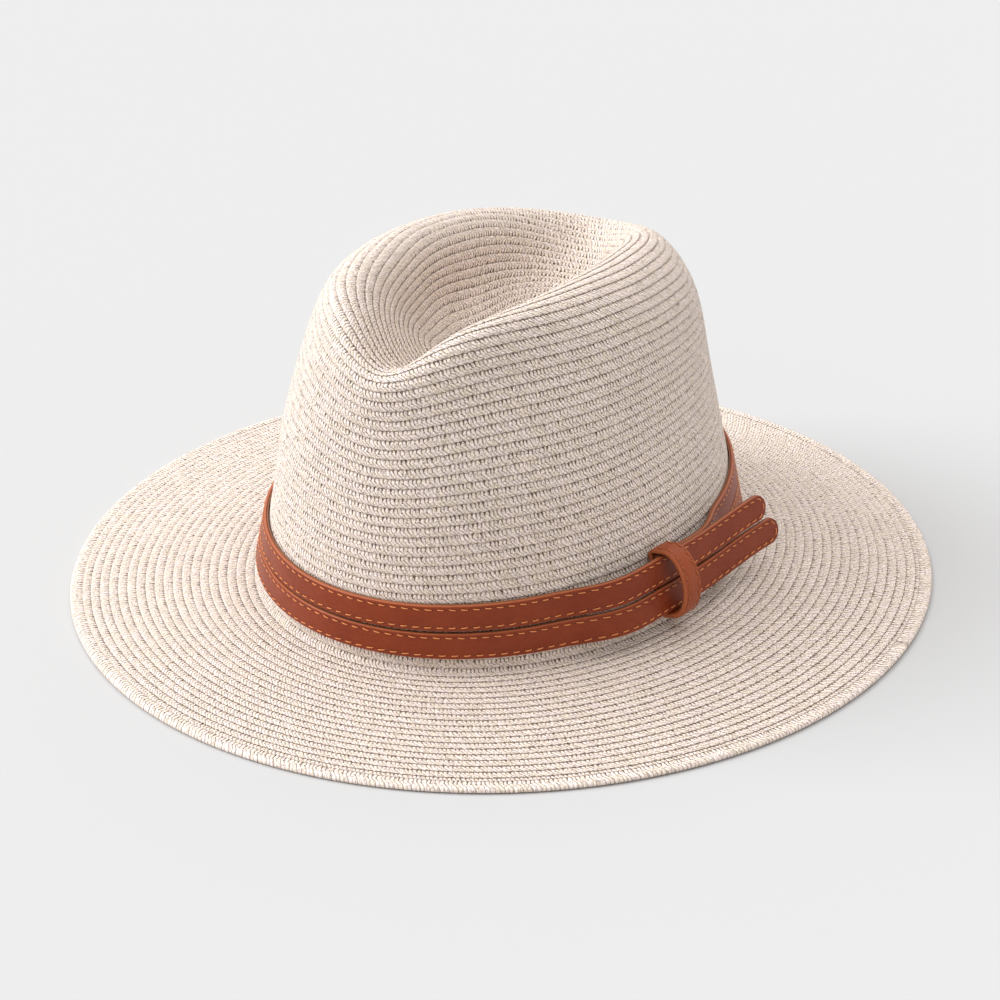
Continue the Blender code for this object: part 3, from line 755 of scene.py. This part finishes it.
def stitching(place, seam, pitch, length, surface, radius, holes=True):
    """Separate stitches along a seam, dipping into the leather at both ends, with their needle holes as plugs
    painted dark for the shade inside them.
    """
    flat = seam * [1 / MM, 1]
    steps = np.linalg.norm(np.diff(flat, axis=0), axis=1)
    run = np.concatenate([[0], np.cumsum(steps)])
    centres = np.arange(pitch * 0.5, run[-1] - pitch * 0.25, pitch)
    share = np.linspace(-0.5, 0.5, 9)
    at = centres[:, None] + share[None, :] * length
    along, up = np.interp(at, run, flat[:, 0]) * MM, np.interp(at, run, flat[:, 1])
    arch = np.array([-0.30, 0.10, 0.26, 0.32, 0.34, 0.32, 0.26, 0.10, -0.30]) * radius / 0.3
    lift = surface + arch[None, :] + 0.03 * RANDOM.standard_normal((len(centres), 1))
    lean = (0.22 + 0.12 * RANDOM.standard_normal((len(centres), 1))) * share[None, :]
    up = up + lean
    middle = place(along, up, lift)
    out = place(along, up, lift + 1) - middle
    out /= np.linalg.norm(out, axis=2, keepdims=True)
    ahead = np.gradient(middle, axis=1)
    ahead /= np.linalg.norm(ahead, axis=2, keepdims=True)
    side = np.cross(out, ahead)
    sides = 8
    angle = np.linspace(0, 2 * np.pi, sides, endpoint=False)
    girth = np.array([0.55, 0.9, 1, 1.04, 1.05, 1.04, 1, 0.9, 0.55]) * radius * MM
    ring = np.cos(angle)[:, None] * side[:, :, None, :] + np.sin(angle)[:, None] * out[:, :, None, :] * 0.85
    points = middle[:, :, None, :] + ring * girth[None, :, None, None]
    block = points.shape[1] * sides
    quads, caps = sweep_faces(points.shape[1], sides)
    offsets = np.arange(len(centres)) * block
    all_quads = (quads[None] + offsets[:, None, None]).reshape(-1, 4)[:, ::-1]
    all_caps = [[c + offset for c in cap][::-1] for offset in offsets for cap in caps]
    round_thread = np.linspace(0, 1, sides)[None, None, :]
    uv = np.stack(np.broadcast_arrays(at[:, :, None], round_thread), -1).reshape(-1, 2)
    points = points.reshape(-1, 3)
    which = np.zeros(len(all_quads))
    if holes:
        ends = np.concatenate([centres - length * 0.5, centres + length * 0.5])
        spot_along, spot_up = np.interp(ends, run, flat[:, 0]) * MM, np.interp(ends, run, flat[:, 1])
        # a hole is a plug painted dark as the shade inside it, with its top just proud of the leather and its
        # foot below it
        rim_along = spot_along[:, None] + HOLE_HALF_LENGTH * MM * np.cos(angle)[None, :]
        rim_up = spot_up[:, None] + HOLE_HALF_HEIGHT * np.sin(angle)[None, :]
        top = place(rim_along, rim_up, np.full(rim_up.shape, surface + 0.035))
        low = place(rim_along, rim_up, np.full(rim_up.shape, surface - 0.12))
        spots = np.concatenate([top, low], 1)
        base = len(points) + np.arange(len(ends))[:, None] * 2 * sides
        ring_a, ring_b = np.arange(sides), (np.arange(sides) + 1) % sides
        walls = np.stack([ring_a, ring_a + sides, ring_b + sides, ring_b], 1)
        top_lid = [[0, 1, 2, 3], [0, 3, 4, 7], [4, 5, 6, 7]]
        low_lid = [[11, 10, 9, 8], [15, 12, 11, 8], [15, 14, 13, 12]]
        lids = np.array(top_lid + low_lid)
        spot_quads = np.concatenate([walls, lids])
        spot_quads = (spot_quads[None] + base[:, :, None]).reshape(-1, 4)
        all_quads = np.concatenate([all_quads, spot_quads])
        which = np.concatenate([which, np.ones(len(spot_quads))])
        points = np.concatenate([points, spots.reshape(-1, 3)])
        uv = np.concatenate([uv, np.zeros((spots.shape[0] * 2 * sides, 2))])
    return points, all_quads, all_caps, uv, which


def make_stitches(name, finish, *arguments, holes=True):
    points, quads, caps, uv, which = stitching(*arguments, holes=holes)
    return solid(name, points, quads, caps, uv, [finish, HOLE_SHADE] if holes else [finish], which)


def make_strap(name, bottom, tail, lift):
    strap = Strap(bottom, tail, lift)
    split = BACKING_THICKNESS / MM + 0.02
    lining = strap_solid(name + "_lining", strap, 0.0, split, LINING, groove=0.0, crowned=0.0)
    face = strap_solid(name + "_leather", strap, split, STRAP_STACK / MM - 0.04, LEATHER)
    surface = STRAP_STACK / MM - 0.15
    sewing = (strap.place, strap.seam(STRAP_WIDTH / MM), *STRAP_STITCH, surface, THREAD_RADIUS)
    sewn = make_stitches(name + "_stitches", THREAD, *sewing)
    for piece, node, slot in (
        (lining, name + "_backing", "leather_backing"),
        (face, name, "tan_leather"),
        (sewn, name + "_thread", "orange_thread"),
    ):
        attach(piece, "hat")
        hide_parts(node)


def keeper_outline():
    """The keeper's inner face in its own plane, in mm out and mm up.

    The back lies flat on the crown and the front stands off the straps in a round arch.
    """
    low, high = KEEPER_INNER
    near, far = GAP + KEEPER_THICKNESS, GAP + KEEPER_THICKNESS + KEEPER_DEPTH
    middle, half, spring = (low + high) / 2, (high - low) / 2, near + 0.0042
    line = [(near, low + 0.0005), (near, middle), (near, high - 0.0005), (near + 0.0007, high)]
    for turn in np.radians(np.linspace(82, -82, 15)):
        line.append((spring + (far - spring) * np.cos(turn), middle + half * np.sin(turn)))
    line.append((near + 0.0007, low))
    line = np.array(line)
    parts = []
    for k in range(len(line)):
        a, b, c, d = (line[(k + m) % len(line)] for m in (-1, 0, 1, 2))
        for t in np.linspace(0, 1, 8, endpoint=False):
            straight = b + (c - b) * t
            bend, twist = 2 * a - 5 * b + 4 * c - d, 3 * b - a - 3 * c + d
            curved = 0.5 * (2 * b + (c - a) * t + bend * t**2 + twist * t**3)
            parts.append(0.6 * curved + 0.4 * straight)
    return np.array(parts) / MM


class Loop:
    """Places points on the keeper by mm round its outline, mm across it and mm out from its inner face."""

    def __init__(self):
        line = keeper_outline()
        closed = np.vstack([line, line[:1]])
        self.run = np.concatenate([[0], np.cumsum(np.linalg.norm(np.diff(closed, axis=0), axis=1))])
        self.line = closed
        self.length = self.run[-1]
        ahead = np.roll(line, -1, 0) - np.roll(line, 1, 0)
        ahead /= np.linalg.norm(ahead, axis=1)[:, None]
        out = np.stack([-ahead[:, 1], ahead[:, 0]], 1)
        kernel = np.array([1, 3, 5, 3, 1]) / 13
        out = sum(w * np.roll(out, k - 2, 0) for k, w in enumerate(kernel))
        out /= np.linalg.norm(out, axis=1)[:, None]
        self.out = np.vstack([out, out[:1]])

    def place(self, round_, across, out):
        round_, across, out = np.broadcast_arrays(round_, across, out)
        s = round_ % self.length
        off, rise = (
            np.interp(s, self.run, self.line[:, a]) + out * np.interp(s, self.run, self.out[:, a])
            for a in (0, 1)
        )
        return (
            KEEPER_AT
            + across[..., None] * MM * ALONG
            + off[..., None] * MM * OUT
            + rise[..., None] * MM * UP
        )


def make_keeper():
    loop = Loop()
    width, thick = KEEPER_WIDTH / MM, KEEPER_THICKNESS / MM
    section = rounded_section(width, 0.0, thick, groove=0.14, crowned=0.10)
    round_ = np.linspace(0, loop.length, 160, endpoint=False)[:, None]
    points = loop.place(round_, width / 2 - section[None, :, 0], section[None, :, 1])
    uv = np.stack(np.broadcast_arrays(round_, section[None, :, 0]), -1)
    leather = swept("keeper_leather", points, uv, LOOP_LEATHER, closed=True)
    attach(leather, "keeper")
    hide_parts("keeper_loop")
    back_height = KEEPER_INNER[1] - KEEPER_INNER[0]
    arc = np.linspace(back_height / MM + 1.0, loop.length - 2.0, 500)
    for side, label in ((-1, "front"), (1, "back")):
        across = np.full(len(arc), side * (width / 2 - STITCH_INSET / MM))
        seam = np.stack([arc * MM, across], 1)
        sewn = make_stitches(
            "keeper_stitches_" + label,
            LOOP_THREAD,
            lambda run, up, out: loop.place(run / MM, up, out),
            seam,
            *LOOP_STITCH,
            thick - 0.14,
            THREAD_RADIUS,
        )
        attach(sewn, "keeper")
        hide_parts("keeper_thread_" + label)


# ---------------------------------------------------------------- sweatband
TAPE_ROWS = 13
TAPE_SEAM_HEIGHT = SWEAT_BOTTOM + 0.002


def make_sweatband():
    inset = -(BRAID + 2 * GAP)
    front = inset - SWEAT_THICKNESS + 0.0002
    theta = np.linspace(0, 2 * np.pi, 720, endpoint=False)
    heights = np.linspace(SWEAT_TOP, SWEAT_BOTTOM, TAPE_ROWS)
    back = np.array([wall_points(theta, z, inset) for z in heights])
    face = np.array([wall_points(theta, z, front) for z in heights])
    away = (back - face) / np.linalg.norm(back - face, axis=2, keepdims=True)
    depth = np.linspace(0, 1, TAPE_ROWS)[:, None]
    ripple = 0.00022 * np.sin(theta * 9 + 1.3) * np.sin(theta * 4) * (1 - depth)
    face = face - away * np.maximum(ripple, -0.0001)[..., None]
    points = np.concatenate([back, face[::-1]]).transpose(1, 0, 2)
    line = wall_points(theta, (SWEAT_TOP + SWEAT_BOTTOM) / 2, inset)
    run = np.concatenate([[0], np.cumsum(np.linalg.norm(np.diff(line, axis=0), axis=1))]) / MM
    across = np.concatenate([heights, heights[::-1]]) / MM
    uv = np.stack(np.broadcast_arrays(run[:, None], across[None, :]), -1)
    tape = swept("sweatband_tape", points, uv, TAPE, closed=True)
    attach(tape, "hat")
    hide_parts("sweatband")
    length = run[-1] + np.linalg.norm(line[0] - line[-1]) / MM

    def place(along, up, out):
        angle = along / MM * (2 * np.pi / length)
        shape = np.shape(angle)
        on_face = wall_points(np.ravel(angle), TAPE_SEAM_HEIGHT, front).reshape(*shape, 3)
        one_out = wall_points(np.ravel(angle), TAPE_SEAM_HEIGHT, front - MM).reshape(*shape, 3)
        placed = on_face + (one_out - on_face) * np.asarray(out)[..., None]
        placed[..., 2] += np.asarray(up) * MM
        return placed

    seam = np.stack([np.linspace(0, length, 4000) * MM, np.zeros(4000)], 1)
    sewing = (place, seam, *TAPE_STITCH, 0.0, TAPE_THREAD_RADIUS)
    sewn = make_stitches("sweatband_stitches", TAPE_THREAD, *sewing, holes=False)
    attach(sewn, "hat")
    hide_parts("sweatband_thread")


lay_braid()
braid_start()
brim_edge()
make_sweatband()
make_strap("lower_strap", LOWER_BOTTOM, LOWER_TAIL, LOWER_TAIL_LIFT)
make_strap("upper_strap", UPPER_BOTTOM, UPPER_TAIL, UPPER_TAIL_LIFT)
make_keeper()


# ---------------------------------------------------------------- floor, light and camera
FLOOR_COLOUR, FLOOR_HALF = (0.509, 0.509, 0.509), 6
WORLD_COLOUR, WORLD_STRENGTH = (1.0, 0.985, 0.97, 1), 0.78


def floor_material():
    n = Nodes("floor_paint")
    cloud = n.noise(n.place(), 2.0, 2.0)
    colour = n.mix(cloud, FLOOR_COLOUR, tuple(c * 1.004 for c in FLOOR_COLOUR))
    normal = n.relief(n.noise(n.place(), 60.0, 3.0), 0.0001, 0.2)
    return n.finish(colour, 0.95, normal, Specular_IOR_Level=0.0)


FLOOR_CORNERS = [(x * FLOOR_HALF, y * FLOOR_HALF, 0) for x, y in ((-1, -1), (1, -1), (1, 1), (-1, 1))]
floor_mesh = bpy.data.meshes.new("studio_floor")
floor_mesh.from_pydata(FLOOR_CORNERS, [], [(0, 1, 2, 3)])
floor_mesh.materials.append(floor_material())
floor = bpy.data.objects.new("studio_floor", floor_mesh)
bpy.context.scene.collection.objects.link(floor)

CAMERA_TURN, CAMERA_TILT, CAMERA_DISTANCE = np.radians(26.13), np.radians(27.02), 0.95
back = Vector((
    np.sin(CAMERA_TURN) * np.cos(CAMERA_TILT),
    -np.cos(CAMERA_TURN) * np.cos(CAMERA_TILT),
    np.sin(CAMERA_TILT),
))
camera_data = bpy.data.cameras.new("photo_view")
camera_data.sensor_width = 36
camera_data.lens = 91.3
camera_data.shift_x, camera_data.shift_y = -0.0038, 0.0588
camera_data.clip_start, camera_data.clip_end = 0.05, 20
camera = bpy.data.objects.new("photo_view", camera_data)
camera.location = back * CAMERA_DISTANCE
camera.rotation_euler = back.to_track_quat("Z", "Y").to_euler()
bpy.context.scene.collection.objects.link(camera)
bpy.context.scene.camera = camera


def sun(name, turn, tilt, strength, softness, colour):
    """A soft distant light; turn is from the camera's right, towards the back, and tilt is up."""
    right = Vector((np.cos(CAMERA_TURN), np.sin(CAMERA_TURN), 0))
    away = Vector((-np.sin(CAMERA_TURN), np.cos(CAMERA_TURN), 0))
    a, e = np.radians(turn), np.radians(tilt)
    direction = (right * np.cos(a) + away * np.sin(a)) * np.cos(e) + Vector((0, 0, np.sin(e)))
    data = bpy.data.lights.new(name, "SUN")
    data.energy, data.angle, data.color = strength, np.radians(softness), colour
    lamp = bpy.data.objects.new(name, data)
    lamp.rotation_euler = direction.to_track_quat("Z", "Y").to_euler()
    lamp.location = direction * 3
    bpy.context.scene.collection.objects.link(lamp)


sun("key_left", turn=176, tilt=34, strength=2.85, softness=45, colour=(0.975, 0.99, 1.02))
sun("top_fill", turn=95, tilt=75, strength=1.35, softness=80, colour=(1.0, 1.0, 1.0))
world = bpy.data.worlds.new("studio")
world.use_nodes = True
sky = world.node_tree.nodes["Background"]
sky.inputs[0].default_value = WORLD_COLOUR
sky.inputs[1].default_value = WORLD_STRENGTH
bpy.context.scene.world = world
bpy.context.scene.view_settings.view_transform = "Standard"
